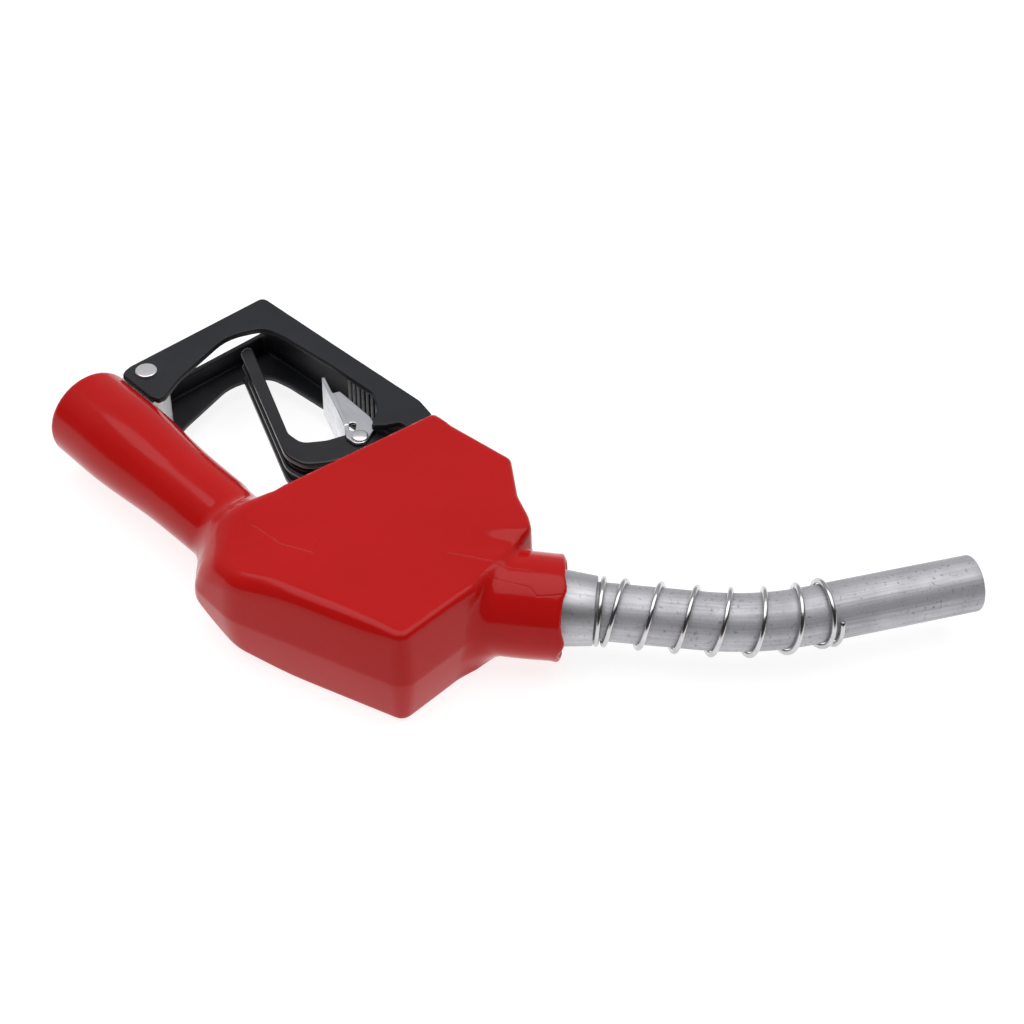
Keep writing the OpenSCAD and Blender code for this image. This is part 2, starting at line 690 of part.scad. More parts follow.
module clip_spring() {
    color("silver") translate([clip_x, clip_y, 0]) coil(-4.6, 4.6, 3.5, 0.5, 6, 14);
}

vinyl_cover();
body_casting();
inlet_strainer();
main_poppet();
poppet_seal();
poppet_nut();
main_stem();
main_spring();
main_cap();
main_cap_gasket();
stem_packing();
gland_nut();
latch_sleeve();
latch_stem();
lever_pivot_pin();
latch_spring();
latch_balls();
latch_pin();
diaphragm();
diaphragm_plate();
diaphragm_spring();
vacuum_cap();
vacuum_cap_screws();
spout_adapter();
adapter_oring();
spout_screw();
venturi_seat();
check_poppet();
check_spring();
spout_tube();
vent_tube();
vent_tip();
spout_spring();
lever_guard();
guard_rear_rivet();
guard_screws();
lever();
hold_open_clip();
clip_rivet();
clip_spring();
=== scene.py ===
import math

import bmesh
import bpy
import numpy as np
from mathutils import Matrix, Vector


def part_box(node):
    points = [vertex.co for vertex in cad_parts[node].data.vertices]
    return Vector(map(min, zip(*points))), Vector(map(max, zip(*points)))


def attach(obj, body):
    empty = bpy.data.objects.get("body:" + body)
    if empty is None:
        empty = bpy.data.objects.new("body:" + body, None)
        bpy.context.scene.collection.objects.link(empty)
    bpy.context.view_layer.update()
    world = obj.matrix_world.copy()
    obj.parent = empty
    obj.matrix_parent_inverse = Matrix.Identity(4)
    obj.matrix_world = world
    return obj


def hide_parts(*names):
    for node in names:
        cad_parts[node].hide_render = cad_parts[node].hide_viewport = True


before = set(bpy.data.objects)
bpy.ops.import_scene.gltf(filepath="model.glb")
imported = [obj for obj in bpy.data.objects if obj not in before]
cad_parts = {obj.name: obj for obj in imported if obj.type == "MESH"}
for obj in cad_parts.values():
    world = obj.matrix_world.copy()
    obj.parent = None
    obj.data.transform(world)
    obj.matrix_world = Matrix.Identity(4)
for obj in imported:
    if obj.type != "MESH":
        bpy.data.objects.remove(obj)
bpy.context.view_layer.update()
MM = 0.001

# ------------------------------------------------------------------ camera, floor and light

CAMERA_AT = (0.5859, -0.3251, 0.5576)
RIGHT = Vector((0.7133, 0.7009, 0.0)).normalized()
UP = Vector((-0.4825, 0.4910, 0.7254)).normalized()
ROLL = math.radians(2.0)


def add_camera():
    back = RIGHT.cross(UP).normalized()
    right = RIGHT * math.cos(ROLL) + UP * math.sin(ROLL)
    up = UP * math.cos(ROLL) - RIGHT * math.sin(ROLL)
    data = bpy.data.cameras.new("camera")
    data.sensor_width = 36.0
    data.lens = 66.8
    data.clip_start = 0.01
    camera = bpy.data.objects.new("camera", data)
    turn = Matrix((right, up, back)).transposed().to_4x4()
    camera.matrix_world = Matrix.Translation(CAMERA_AT) @ turn
    bpy.context.scene.collection.objects.link(camera)
    bpy.context.scene.camera = camera


def add_floor():
    mesh = bpy.data.meshes.new("floor")
    low = min(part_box(n)[0].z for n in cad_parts)
    s = 40.0
    mesh.from_pydata([(-s, -s, low), (s, -s, low), (s, s, low), (-s, s, low)], [], [(0, 1, 2, 3)])
    floor = bpy.data.objects.new("floor", mesh)
    bpy.context.scene.collection.objects.link(floor)
    mat = bpy.data.materials.new("floor")
    mat.use_nodes = True
    shader = mat.node_tree.nodes["Principled BSDF"]
    shader.inputs["Base Color"].default_value = (0.3, 0.3, 0.303, 1)
    shader.inputs["Emission Color"].default_value = (1, 1, 1, 1)
    shader.inputs["Emission Strength"].default_value = 0.85
    shader.inputs["Roughness"].default_value = 0.9
    shader.inputs["Specular IOR Level"].default_value = 0.1
    mesh.materials.append(mat)


def add_area(name, at, across, deep, power):
    """A softbox overhead, facing down, with its long side square to the view."""
    data = bpy.data.lights.new(name, "AREA")
    data.shape = "RECTANGLE"
    data.size = across
    data.size_y = deep
    data.energy = power
    lamp = bpy.data.objects.new(name, data)
    lamp.location = at
    lamp.rotation_euler = (0, 0, math.atan2(RIGHT.y, RIGHT.x))
    bpy.context.scene.collection.objects.link(lamp)


AWAY = Vector((-0.7009, 0.7133, 0.0))


def add_world():
    """A pale studio, grey behind the object and dark on the camera's side."""
    world = bpy.data.worlds.new("studio")
    bpy.context.scene.world = world
    world.use_nodes = True
    tree = world.node_tree
    background = tree.nodes["Background"]
    coord = tree.nodes.new("ShaderNodeTexCoord")
    dot = tree.nodes.new("ShaderNodeVectorMath")
    dot.operation = "DOT_PRODUCT"
    dot.inputs[1].default_value = (AWAY.x * 0.9, AWAY.y * 0.9, 0.436)
    ramp = tree.nodes.new("ShaderNodeValToRGB")
    ramp.color_ramp.elements[0].position = 0.1
    ramp.color_ramp.elements[0].color = (0.03, 0.03, 0.03, 1)
    ramp.color_ramp.elements[1].position = 0.5
    ramp.color_ramp.elements[1].color = (0.47, 0.47, 0.48, 1)
    tree.links.new(coord.outputs["Generated"], dot.inputs[0])
    tree.links.new(dot.outputs["Value"], ramp.inputs["Fac"])
    tree.links.new(ramp.outputs["Color"], background.inputs["Color"])
    background.inputs["Strength"].default_value = 1.0


def add_studio():
    add_camera()
    add_floor()
    add_world()
    centre = Vector((0.17, 0.08, 0.0))
    add_area("softbox_top", centre + Vector((0, 0, 1.3)), 2.4, 1.3, 19.0)
    scene = bpy.context.scene
    scene.view_settings.view_transform = "Standard"
    scene.view_settings.look = "None"


# ------------------------------------------------------------------ signed-distance helpers (mm)


def corner(a, b, c, r, n):
    """Points of the arc of radius r that rounds corner b."""
    if r <= 0:
        return [tuple(b)]
    a, b, c = (np.array(p, float) for p in (a, b, c))
    u = (a - b) / np.linalg.norm(a - b)
    w = (c - b) / np.linalg.norm(c - b)
    half = math.acos(max(-1.0, min(1.0, float(u @ w)))) / 2
    m = b + (u + w) / np.linalg.norm(u + w) * (r / math.sin(half))
    s = b + u * (r / math.tan(half)) - m
    e = b + w * (r / math.tan(half)) - m
    a0 = math.atan2(s[1], s[0])
    da = (math.atan2(e[1], e[0]) - a0 + math.pi) % (2 * math.pi) - math.pi
    turns = [a0 + da * k / n for k in range(n + 1)]
    return [tuple(m + r * np.array([math.cos(a), math.sin(a)])) for a in turns]


def rounded(points, n=5):
    out = []
    for i, p in enumerate(points):
        a, c = points[i - 1], points[(i + 1) % len(points)]
        out += corner(a[:2], p[:2], c[:2], p[2] if len(p) > 2 else 0, n)
    return out


def polygon(points, n=5):
    """Signed distance to a closed outline of (x, y, corner radius)."""
    pts = rounded(points, n)

    def f(x, y):
        d = np.full(np.broadcast(x, y).shape, 1e12)
        s = np.ones(d.shape)
        for i in range(len(pts)):
            (px, py), (qx, qy) = pts[i], pts[i - 1]
            ex, ey = qx - px, qy - py
            ll = ex * ex + ey * ey
            if ll < 1e-12:
                continue
            wx, wy = x - px, y - py
            t = np.clip((wx * ex + wy * ey) / ll, 0, 1)
            d = np.minimum(d, (wx - ex * t) ** 2 + (wy - ey * t) ** 2)
            over = y >= py
            under = y < qy
            side = ex * wy > ey * wx
            s = np.where((over & under & side) | (~over & ~under & ~side), -s, s)
        return s * np.sqrt(d)

    return f


def union(a, b, r):
    """Union with a concave fillet of radius r."""
    u = np.maximum(r - a, 0)
    v = np.maximum(r - b, 0)
    return np.maximum(r, np.minimum(a, b)) - np.sqrt(u * u + v * v)


def both(a, b, r):
    """Intersection with an edge rounded to radius r."""
    u = np.maximum(r + a, 0)
    v = np.maximum(r + b, 0)
    return np.minimum(-r, np.maximum(a, b)) + np.sqrt(u * u + v * v)


def step(lo, hi, v):
    t = np.clip((v - lo) / (hi - lo), 0, 1)
    return t * t * (3 - 2 * t)


def grid_net(f, lo, hi, pitch):
    """Surface net of f < 0: vertices and quads."""
    axes = [np.arange(lo[k], hi[k] + pitch, pitch) for k in range(3)]
    gx, gy, gz = axes[0][:, None, None], axes[1][None, :, None], axes[2][None, None, :]
    v = np.asarray(f(gx, gy, gz))
    v = np.broadcast_to(v, tuple(len(a) for a in axes))
    inside = v < 0
    shape = tuple(n - 1 for n in v.shape)

    def part(a, o):
        return a[o[0]:o[0] + shape[0], o[1]:o[1] + shape[1], o[2]:o[2] + shape[2]]

    corners = [(i, j, k) for i in (0, 1) for j in (0, 1) for k in (0, 1)]
    count = sum(part(inside, o).astype(np.int8) for o in corners)
    cells = np.argwhere((count > 0) & (count < 8))
    ids = np.full(shape, -1, np.int64)
    ids[tuple(cells.T)] = np.arange(len(cells))
    total = np.zeros((len(cells), 3))
    hits = np.zeros(len(cells))
    for a in corners:
        for k in range(3):
            if a[k]:
                continue
            b = tuple(a[m] + (m == k) for m in range(3))
            va = v[tuple((cells + a).T)]
            vb = v[tuple((cells + b).T)]
            cross = (va < 0) != (vb < 0)
            t = np.where(cross, va / np.where(cross, va - vb, 1), 0)
            point = np.repeat(np.array(a, float)[None], len(cells), 0)
            point[:, k] += t
            total += point * cross[:, None]
            hits += cross
    verts = np.array([a[0] for a in axes]) + (cells + total / hits[:, None]) * pitch
    quads = []
    for k in range(3):
        p, q = (k + 1) % 3, (k + 2) % 3
        front = [slice(None)] * 3
        rear = [slice(None)] * 3
        front[k], rear[k] = slice(0, -1), slice(1, None)
        for n in (p, q):
            front[n] = rear[n] = slice(1, -1)
        one, two = inside[tuple(front)], inside[tuple(rear)]
        for rising in (False, True):
            where = np.argwhere((one != two) & (two == rising))
            at = where.copy()
            at[:, p] += 1
            at[:, q] += 1
            loop = []
            for dp, dq in ((0, 0), (-1, 0), (-1, -1), (0, -1)):
                c = at.copy()
                c[:, p] += dp
                c[:, q] += dq
                loop.append(ids[tuple(c.T)])
            if rising:
                loop.reverse()
            quads.append(np.stack(loop, 1))
    return verts, np.concatenate(quads)


def slope(f, v, d, h=0.02):
    """Gradient of f at points v, where it is d."""
    g = np.empty_like(v)
    for k in range(3):
        w = v.copy()
        w[:, k] += h
        g[:, k] = (f(w[:, 0], w[:, 1], w[:, 2]) - d) / h
    return g


def solid(f, lo, hi, pitch, rounds=3):
    """Mesh of f < 0, evened out and laid exactly on the surface."""
    verts, quads = grid_net(f, lo, hi, pitch)
    pairs = np.concatenate([quads[:, [i, (i + 1) % 4]] for i in range(4)])
    pairs = np.concatenate([pairs, pairs[:, ::-1]])
    degree = np.bincount(pairs[:, 0], minlength=len(verts))[:, None]
    for turn in range(rounds + 1):
        if turn < rounds:
            sums = [np.bincount(pairs[:, 0], verts[pairs[:, 1], k], len(verts)) for k in range(3)]
            near = np.stack(sums, 1)
            verts += 0.6 * (near / degree - verts)
        for _ in range(2 if turn == rounds else 1):
            d = f(verts[:, 0], verts[:, 1], verts[:, 2])
            g = slope(f, verts, d)
            move = d[:, None] * g / np.maximum((g * g).sum(1), 0.2)[:, None]
            size = np.linalg.norm(move, axis=1)[:, None]
            verts -= move * np.minimum(1, pitch / np.maximum(size, 1e-9))
    return verts, quads


def new_piece(name, verts, faces, smooth=True):
    mesh = bpy.data.meshes.new(name)
    verts = np.asarray(verts, np.float64) * MM
    if isinstance(faces, np.ndarray):
        mesh.vertices.add(len(verts))
        mesh.vertices.foreach_set("co", verts.ravel().astype(np.float32))
        mesh.loops.add(faces.size)
        mesh.loops.foreach_set("vertex_index", faces.ravel().astype(np.int32))
        mesh.polygons.add(len(faces))
        mesh.polygons.foreach_set("loop_start", np.arange(0, faces.size, faces.shape[1], dtype=np.int32))
        mesh.update(calc_edges=True)
    else:
        mesh.from_pydata(verts.tolist(), [], faces)
    mesh.validate()
    mesh.polygons.foreach_set("use_smooth", np.full(len(mesh.polygons), smooth))
    piece = bpy.data.objects.new(name, mesh)
    bpy.context.scene.collection.objects.link(piece)
    return piece


def check_side(piece):
    """Turns the faces outwards if the solid is inside out."""
    bm = bmesh.new()
    bm.from_mesh(piece.data)
    if bm.calc_volume(signed=True) < 0:
        bmesh.ops.reverse_faces(bm, faces=bm.faces)
        bm.to_mesh(piece.data)
    bm.free()


# ------------------------------------------------------------------ the object's outlines (mm)

COVER_Z = 25.0  # half the body's thickness
WALL = 2.2
HANDLE_R = 20.75  # at the hose end
HANDLE_TAPER = 2.65
LEVER_PIN_R = 2.56
CLIP_HOLE_R = 2.43
GUARD_MID, GUARD_HALF = 14.0, 1.5  # each side plate: middle height and half thickness
GUARD_IN = 13.5
RACK_START, RACK_PITCH, RACK_Y, RACK_R, RACK_COUNT = 64.5, 3.1, 97.4, 0.95, 7
GUARD_SCREWS = ((132, 86.4), (150, 86.4))
NECK_R = 21.85
NECK_END = (228.6, 69.9)
NECK_TURN = math.radians(40.0)


BODY = [
    (104, -12, 6), (109.5, -26.5, 8), (117, -32.5, 9), (142, -33.3, 25), (217.9, -6.5, 8.5), (216.4, 36, 12),
    (205.5, 76.5, 6), (186, 85.1, 12), (168, 98.7, 4.5), (124.8, 93.6, 1.2), (116, 12, 8),
]
# Plane that cuts the body's rear corner back on its upper side: normal and distance
REAR_CUT = ((-0.756, -0.481, 0.444), -71.1)
# Ragged end of the cover round the neck: angle, reach and spread of each tongue (degrees, mm, degrees)
TONGUES = ((45, -1.5, 25), (112, 1.2, 11), (178, 2.0, 14), (250, 0.8, 20), (310, -0.8, 18))
MOUTH = [(90, 18.2), (118.5, 18.2, 4), (123.8, 24, 8), (127.9, 91.3), (125.2, 91.3), (125.2, 110), (90, 110)]
GUARD = [
    (4.2, 16.65, 1.2), (2.6, 19, 0.8), (1.7, 22.5, 1), (1.7, 98.3, 3.2), (55, 100.2, 60), (106.5, 102.3, 6),
    (117, 100, 4), (124.6, 91, 1.5), (157, 91.1, 3), (157, 82.6, 3), (129, 82.8, 1.5), (126.4, 86.1, 1.5),
    (111.6, 86.1, 2), (108.7, 80, 1.5), (104.9, 75.4, 0.6), (98.5, 84.6, 5), (88.7, 90.6, 8), (60.7, 89.4, 60),
    (31.9, 87, 20), (20, 84.5, 10), (13.2, 68, 22), (22.8, 34.3, 20), (29, 21.6, 2.5), (28.6, 18.1, 1.5),
    (24.5, 16.65, 2),
]
REAR_WEB = [(1.7, 30), (1.7, 98.3, 3.2), (16, 98.8), (16, 95.8, 3), (4.9, 95.2, 2.5), (4.9, 30)]
LONG_WEB = [
    (2.5, 98.3), (55, 100.2, 60), (106.5, 102.3, 6), (117, 100, 4), (123.6, 92), (121.5, 90.6),
    (115.4, 97, 3), (106.3, 99.1, 5), (55, 97, 60), (2.5, 95.3),
]
PIVOT = (168.0, 77.0)
LEVER = [
    (18.6, 73.9, 2), (21.6, 75.6, 1.5), (78.5, 50.2, 8), (87.2, 50.6, 6), (93.2, 59.5, 12), (97.6, 73, 8),
    (101.6, 79.5, 6), (118, 82.5, 10), (169.5, 83.3, 5.5), (174.6, 77.3, 5), (168.5, 70, 5.5), (118, 70, 6),
    (110, 63, 8), (104.9, 50.6, 14), (99, 42, 9), (88.5, 40.2, 12), (20.5, 69.6, 2),
]
LEVER_CORE = [
    (20.6, 73.4, 0.5), (22, 74.4, 0.5), (78.2, 49.3, 8), (87.7, 49.8, 6), (93.9, 59.2, 12), (98.4, 72.6, 8),
    (102.3, 78.8, 6), (118, 81.7, 10), (150, 82.2), (150, 70.8), (117.6, 70.8, 6), (109, 66, 8),
    (102.4, 51.8, 12), (97.2, 44.8, 8), (89, 42.9, 10), (22, 72, 0.5),
]
CLIP = [
    (72.6, 81, 0.5), (73.6, 84, 1.2), (97, 82.4, 12), (103.4, 79.4, 3), (107.4, 69.2, 3),
    (105, 65.8, 2.5), (99.2, 65.8, 1.5), (92.4, 70.4),
]
CLIP_WEB = [(60.9, 83.9, 0.4), (61.6, 85.4, 0.4), (93.2, 71.9), (92.6, 70.4)]
CLIP_AT = (103.0, 70.4)
RIVET_AT = (10.0, 25.4)


# ------------------------------------------------------------------ vinyl cover

body_outline = polygon(BODY, 6)
mouth_outline = polygon(MOUTH)


def neck_place(x, y):
    """Distance out of the neck from its end, and across it."""
    c, s = math.cos(NECK_TURN), math.sin(NECK_TURN)
    dx, dy = x - NECK_END[0], y - NECK_END[1]
    return dx * c + dy * s, dy * c - dx * s


def soft(v, r):
    """Rises from 0 with slope 1, eased over r."""
    return r * np.logaddexp(0, v / r)


def cover_skin(x, y, z, d=0.0):
    """Outside of the dipped cover, or the surface d inside it."""
    az = np.abs(z)
    # the walls lean in from a crease in the middle, and the face falls away towards the rear corner
    lean = np.minimum(step(44, 24, y) + step(196, 212, x) * step(-1, 4, z), 1)
    lean = lean * (1 - step(132, 124, x) * step(2, 14, y))
    side = body_outline(x, y) + lean * (2.2 * az / 22 + 0.9 * (az / 22) ** 2)
    fall = -0.5 * (x - 170) - 0.866 * (y + 20)
    t, across = neck_place(x, y)
    face = COVER_Z - 0.245 * soft(fall - 4, 2.5) - 0.028 * np.maximum(0, fall - 20) ** 2
    face = face - 2.7 * step(-48, -14, t) * step(20, 11, across)
    near_mouth = step(129, 122, x - 0.1 * (y - 20)) * step(8, 18, y)
    edge = 2.8 + step(-3, 3, z) * (2.8 * step(4, -14, y) * step(214, 200, x) + 0.3 - 1.8 * near_mouth)
    body = both(side + d, az - face + d, edge)
    (nx, ny, nz), reach = REAR_CUT
    body = both(body, nx * x + ny * y + nz * z - reach + d, 6.0)
    r = HANDLE_R - HANDLE_TAPER * step(22, 74, x) - 0.7 * np.clip((x - 70) / 60, 0, 1)
    # a shallow flat where the squeezed lever comes down on the handle
    r = r - 0.7 * step(90, 98, x) * step(118, 110, x) * step(9, 15, y)
    grip = both(np.hypot(y, z) - r + d, np.maximum(-1 - x, x - 132), 2.4)
    fillet = 13 - 10.5 * step(10, 20, y)
    shell = union(body, grip, fillet)
    turn = np.degrees(np.arctan2(z, across)) % 360
    end = 0.2 + sum(far * np.exp(-((turn - at) / wide) ** 2) for at, far, wide in TONGUES)
    swell = 0.25 * np.exp(-((t + 13) / 9) ** 2) + 0.35 * step(-4, -0.5, t)
    neck = both(np.hypot(across, z) - NECK_R - swell + 0.1 + d, np.maximum(t - end, -50 - t), 1.3)
    join = 6.6 - 2.9 * step(-12, 2, z) - 1.6 * step(2, 12, across)
    return both(union(shell, neck, join), az - COVER_Z + 0.02 + d, 1.0)


def cover(x, y, z):
    f = both(cover_skin(x, y, z), -cover_skin(x, y, z, WALL), 0.5)
    t, across = neck_place(x, y)
    bore = np.maximum(np.hypot(across, z) - (NECK_R - WALL - 0.3), -4 - t)
    inlet = np.maximum(np.hypot(y, z) - 18.5, x - 5)
    mouth = np.maximum(mouth_outline(x, y), np.abs(z) - (COVER_Z - WALL))
    slot = np.maximum(np.maximum(np.abs(z) - 12.6, np.abs(x - 14.6) - 12.6), -y)
    for cut in (bore, inlet, mouth, slot):
        f = both(f, -cut, 0.5)
    return f


# ------------------------------------------------------------------ guard, lever and clip


guard_outline = polygon(GUARD)
rear_web = polygon(REAR_WEB)
long_web = polygon(LONG_WEB)


def guard(x, y, z):
    az = np.abs(z)
    plates = both(guard_outline(x, y), np.abs(az - GUARD_MID) - GUARD_HALF, 0.7)
    rear = both(rear_web(x, y), np.maximum(-GUARD_IN - z, z + 4), 0.7)
    top = both(long_web(x, y), az - GUARD_IN, 0.5)
    f = union(union(plates, rear, 1.0), top, 1.0)
    for i in range(RACK_COUNT):
        ridge = np.hypot(x - RACK_START - RACK_PITCH * i, y - RACK_Y) - RACK_R
        f = union(f, np.maximum(ridge, az - 13), 0.3)
    f = both(f, 3.05 - np.hypot(x - RIVET_AT[0], y - RIVET_AT[1]), 0.2)
    for sx, sy in GUARD_SCREWS:
        f = both(f, 1.7 - np.hypot(x - sx, y - sy), 0.2)
    return f


lever_side = polygon(LEVER)
lever_core = polygon(LEVER_CORE)


def lever(x, y, z):
    az = np.abs(z)
    side = lever_side(x, y)
    flange = both(side, np.abs(az - 7.3) - 1.7, 0.9)
    rib = both(side, az - 1.3, 0.6)
    core = np.maximum(lever_core(x, y), az - 8)
    f = union(np.minimum(flange, rib), core, 0.9)
    pin = np.hypot(x - PIVOT[0], y - PIVOT[1])
    fork = np.maximum(np.maximum(az - 4.1, 156 - x), np.abs(y - PIVOT[1]) - 20)
    hole = np.hypot(x - CLIP_AT[0], y - CLIP_AT[1])
    for cut in (fork, pin - LEVER_PIN_R, hole - CLIP_HOLE_R, np.maximum(hole - 4.4, az - 5.2)):
        f = both(f, -cut, 0.3)
    return f


clip_side = polygon(CLIP)
clip_web = polygon(CLIP_WEB)


def clip(x, y, z):
    az = np.abs(z)
    plates = both(clip_side(x, y), np.abs(az - 10.1) - 0.7, 0.3)
    web = both(clip_web(x, y), az - 10.8, 0.3)
    f = union(plates, web, 0.8)
    f = both(f, 2.46 - np.hypot(x - CLIP_AT[0], y - CLIP_AT[1]), 0.1)
    c, s = math.cos(math.radians(136)), math.sin(math.radians(136))
    dx, dy = x - 95.8, y - 72.3
    slot = np.hypot(np.maximum(np.abs(dx * c + dy * s) - 1.3, 0), dy * c - dx * s) - 1.5
    return both(f, -slot, 0.2)


# ------------------------------------------------------------------ round and swept pieces


def lathe(name, profile, place, segments=96, closed=True):
    """A turned piece: profile of (radius, height) round the local Z axis, mapped by place(x, y, z)."""
    verts, faces = [], []
    n = len(profile)
    for s in range(segments):
        a = 2 * math.pi * s / segments
        verts += [place(r * math.cos(a), r * math.sin(a), h) for r, h in profile]
    for s in range(segments):
        t = (s + 1) % segments
        for i in range(n if closed else n - 1):
            j = (i + 1) % n
            faces.append((s * n + i, t * n + i, t * n + j, s * n + j))
    piece = new_piece(name, verts, faces)
    bm = bmesh.new()
    bm.from_mesh(piece.data)
    bmesh.ops.remove_doubles(bm, verts=bm.verts, dist=1e-7)
    bmesh.ops.dissolve_degenerate(bm, edges=bm.edges, dist=1e-8)
    bm.to_mesh(piece.data)
    bm.free()
    check_side(piece)
    piece.data.polygons.foreach_set("use_smooth", np.full(len(piece.data.polygons), True))
    return piece


def round_profile(points, n=4):
    """A turned profile of (radius, height, corner radius) with its corners rounded."""
    return rounded(points, n)


def in_neck(x, y, z):
    """Neck's frame (x out of the neck) to the row frame."""
    c, s = math.cos(NECK_TURN), math.sin(NECK_TURN)
    return (NECK_END[0] + x * c - y * s, NECK_END[1] + x * s + y * c, z)


LEG_1 = 56.4
BEND_R = 115.0
BEND = math.radians(22.0)
LEG_2 = 72.7
SPOUT_R = 11.9
SPOUT_BORE = 10.3


def spout_at(s):
    """The spout's centre line at a length from the neck's end, in the neck's frame: x, y, heading."""
    a = (s - LEG_1) / BEND_R
    if a <= 0:
        return s, 0.0, 0.0
    if a < BEND:
        return LEG_1 + BEND_R * math.sin(a), BEND_R * (1 - math.cos(a)), a
    t = s - LEG_1 - BEND_R * BEND
    return (LEG_1 + BEND_R * math.sin(BEND) + t * math.cos(BEND),
            BEND_R * (1 - math.cos(BEND)) + t * math.sin(BEND), BEND)


SPOUT_END = LEG_1 + BEND_R * BEND + LEG_2


def on_spout(s, a, r):
    """A point beside the spout's centre line: at length s, angle a round it and distance r."""
    x, y, h = spout_at(s)
    side = r * math.cos(a)
    return in_neck(x - side * math.sin(h), y + side * math.cos(h), r * math.sin(a))


def ring_tube(name, stations, segments=96):
    """A tube of revolution along the spout: closed loop of (length, radius) stations."""
    verts, faces = [], []
    n = len(stations)
    for s, r in stations:
        verts += [on_spout(s, 2 * math.pi * k / segments, r) for k in range(segments)]
    for i in range(n):
        j = (i + 1) % n
        for k in range(segments):
            m = (k + 1) % segments
            faces.append((i * segments + k, j * segments + k, j * segments + m, i * segments + m))
    piece = new_piece(name, verts, faces)
    uv = piece.data.uv_layers.new(name="along")
    length = {}
    run = 0.0
    for i in range(n):
        length[i] = run
        a, b = stations[i], stations[(i + 1) % n]
        run += math.hypot(b[0] - a[0], b[1] - a[1])
    length[n] = run
    flat = []
    for i in range(n):
        for k in range(segments):
            u0, u1 = length[i], length[i + 1]
            flat += [(u0 * 0.01, k / segments), (u1 * 0.01, k / segments),
                     (u1 * 0.01, (k + 1) / segments), (u0 * 0.01, (k + 1) / segments)]
    uv.data.foreach_set("uv", np.array(flat, np.float32).ravel())
    check_side(piece)
    return piece


def tube_stations(s0, s1, r_out, r_in, edge, count):
    outer = [
        (s0, r_out - edge), (s0 + 0.13 * edge, r_out - 0.5 * edge),
        (s0 + 0.5 * edge, r_out - 0.13 * edge), (s0 + edge, r_out),
    ]
    run = [(s, r_out) for s in np.linspace(s0 + edge, s1 - edge, count)[1:-1]]
    end = [
        (s1 - edge, r_out), (s1 - 0.5 * edge, r_out - 0.13 * edge),
        (s1 - 0.13 * edge, r_out - 0.5 * edge), (s1, r_out - edge),
    ]
    lip = 0.3
    end += [(s1, r_in + lip), (s1 - 0.3 * lip, r_in + 0.3 * lip), (s1 - lip, r_in)]
    back = [(s, r_in) for s in np.linspace(s1 - lip, s0, count)[1:-1]]
    return outer + run + end + back + [(s0, r_in)]


WIRE_R = 1.1
COIL_R = 13.4
PITCH = 14.5
CLOSED_TURNS = 1.16
OPEN_TURNS = 6.1
END_TURNS = 1.1
CLOSED_PITCH = 2 * WIRE_R * 1.02
END_PITCH = 3.5
COIL_START = 14.4
COIL_TURN = math.radians(283)


def coil_rise(t):
    closed = min(t, CLOSED_TURNS)
    return (closed ** 1.5 / CLOSED_TURNS ** 0.5 * CLOSED_PITCH
            + max(0.0, min(t - CLOSED_TURNS, OPEN_TURNS)) * PITCH
            + max(0.0, t - CLOSED_TURNS - OPEN_TURNS) * END_PITCH)


def smooth_rise(t, width=0.16):
    """The same rise with its changes of pitch eased."""
    return sum(coil_rise(t + width * k / 3) for k in range(-3, 4)) / 7 if t > 3 * width else coil_rise(t)


def wire(name, centre_at, turns, per_turn, radius, sides=14):
    """A wire swept along a centre line, with slightly rounded cut ends."""
    count = int(turns * per_turn)
    line = [Vector(centre_at(turns * i / count)) for i in range(count + 1)]
    tangents = [(line[min(i + 1, count)] - line[max(i - 1, 0)]).normalized() for i in range(count + 1)]
    normal = tangents[0].orthogonal().normalized()
    verts, faces = [], []
    rings = []
    for i, (p, t) in enumerate(zip(line, tangents)):
        normal = (normal - t * normal.dot(t)).normalized()
        bi = t.cross(normal)
        loops = [(1, 0)]
        if i == 0:
            loops = [(0.8, -0.18), (1, 0)]
        elif i == count:
            loops = [(1, 0), (0.8, 0.18)]
        for shrink, shift in loops:
            rings.append(len(verts))
            for k in range(sides):
                a = 2 * math.pi * k / sides
                out = normal * math.cos(a) + bi * math.sin(a)
                verts.append(tuple(p + t * (shift * radius) + out * radius * shrink))
    for a, b in zip(rings, rings[1:]):
        for k in range(sides):
            m = (k + 1) % sides
            faces.append((a + k, a + m, b + m, b + k))
    faces.append(tuple(range(sides - 1, -1, -1)))
    faces.append(tuple(range(rings[-1], rings[-1] + sides)))
    piece = new_piece(name, verts, faces)
    check_side(piece)
    return piece


# ------------------------------------------------------------------ materials


